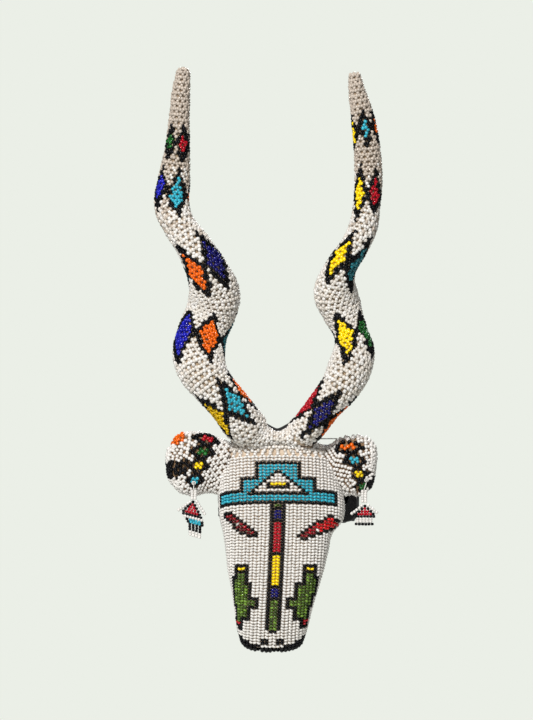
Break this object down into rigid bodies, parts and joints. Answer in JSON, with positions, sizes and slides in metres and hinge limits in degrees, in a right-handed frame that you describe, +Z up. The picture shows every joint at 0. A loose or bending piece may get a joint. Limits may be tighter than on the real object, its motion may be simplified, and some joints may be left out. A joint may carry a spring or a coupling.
{
  "type": "beaded antelope head wall ornament",
  "caption": "Antelope head for a wall, covered in glass seed beads, with two spiral horns, two ears, a cloth neck on a back board and a swinging beaded pendant on each ear.",
  "frame": {"origin": "centre of the back board's rear face, which lies flat on the wall", "axes": "+X to the viewer's right, +Y back into the wall, +Z up; the face looks along -Y"},
  "size_m": [0.171, 0.1191, 0.4373],
  "materials": {
    "white_beads": "opaque pearl white glass seed beads, glossy",
    "black_beads": "opaque black glass seed beads, glossy",
    "teal_beads": "opaque teal glass seed beads, glossy",
    "tan_cloth": "plain woven tan cotton",
    "brown_cloth": "plain woven brown cotton",
    "black_cloth": "black felt, matt",
    "stuffing": "tightly packed fibre stuffing",
    "thread": "waxed white beading thread",
    "wire": "plain steel wire",
    "steel": "zinc plated steel",
    "board": "bare pine board"
  },
  "bodies": {
    "trophy": {"face_beadwork": "white_beads", "brow_lacing": "white_beads", "jaw_beadwork": "black_beads", "head_cloth": "tan_cloth", "head_form": "stuffing", "horn_beadwork_left": "white_beads", "horn_beadwork_right": "white_beads", "horn_core_left": "brown_cloth", "horn_core_right": "brown_cloth", "horn_wire_left": "wire", "horn_wire_right": "wire", "poll_yoke_beadwork": "white_beads", "poll_core": "tan_cloth", "poll_back_pad": "black_cloth", "ear_beadwork_left": "white_beads", "ear_beadwork_right": "white_beads", "ear_core_left": "brown_cloth", "ear_core_right": "brown_cloth", "ear_wire_right": "wire", "neck_cloth": "black_cloth", "neck_core": "stuffing", "back_board": "board", "hanger_strip": "steel", "hanger_screw_left": "steel", "hanger_screw_right": "steel", "pendant_anchor_left": "thread", "pendant_anchor_right": "thread"},
    "pendant_left_top": {"pendant_loop_left": "thread", "pendant_thread_left": "thread", "pendant_knot_left": "white_beads"},
    "pendant_left_panel": {"pendant_strand_left_1": "white_beads", "pendant_strand_left_2": "white_beads", "pendant_panel_left": "black_beads", "pendant_rows_left_1": "white_beads", "pendant_rows_left_2": "teal_beads", "pendant_rows_left_3": "white_beads"},
    "pendant_right_top": {"pendant_loop_right": "thread", "pendant_thread_right": "thread", "pendant_knot_right": "white_beads"},
    "pendant_right_panel": {"pendant_strand_right_1": "white_beads", "pendant_strand_right_2": "white_beads", "pendant_panel_right": "black_beads", "pendant_rows_right_1": "white_beads", "pendant_rows_right_2": "black_beads"}
  },
  "joints": [
    {"name": "pendant_left_sway", "type": "hinge", "parent": "trophy", "child": "pendant_left_top", "pos_m": [-0.0708, -0.0965, 0.0015], "axis": [0, 1, 0], "range_deg": [-18, 25]},
    {"name": "pendant_left_flap", "type": "hinge", "parent": "pendant_left_top", "child": "pendant_left_panel", "pos_m": [-0.071, -0.0965, -0.0111], "axis": [1, 0, 0], "range_deg": [-45, 12]},
    {"name": "pendant_right_sway", "type": "hinge", "parent": "trophy", "child": "pendant_right_top", "pos_m": [0.0586, -0.0965, 0.0035], "axis": [0, 1, 0], "range_deg": [-25, 13]},
    {"name": "pendant_right_flap", "type": "hinge", "parent": "pendant_right_top", "child": "pendant_right_panel", "pos_m": [0.0566, -0.0965, -0.014], "axis": [1, 0, 0], "range_deg": [-45, 12]}
  ]
}
